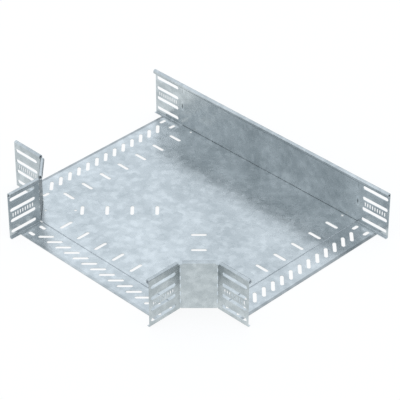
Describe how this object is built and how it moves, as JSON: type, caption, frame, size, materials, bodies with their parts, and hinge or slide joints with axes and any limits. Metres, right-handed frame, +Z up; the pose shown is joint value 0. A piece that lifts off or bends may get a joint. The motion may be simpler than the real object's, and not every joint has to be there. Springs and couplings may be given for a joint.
{
  "type": "cable tray tee",
  "caption": "Galvanised sheet-steel cable tray tee: slotted floor plate between a straight back side and two folded corner sides, open at its ends and on top.",
  "frame": {"origin": "middle of the object's bounding box at the level of its underside", "axes": "+X along the main run, +Y from the branch towards the straight back side, +Z up out of the tray; the branch leaves towards -Y"},
  "size_m": [0.653, 0.5246, 0.108],
  "materials": {
    "galvanised_sheet": "galvanised, satin, with faint spangle"
  },
  "bodies": {
    "root": {"floor_plate": "galvanised_sheet", "back_side": "galvanised_sheet", "right_corner_side": "galvanised_sheet", "left_corner_side": "galvanised_sheet"}
  },
  "joints": []
}
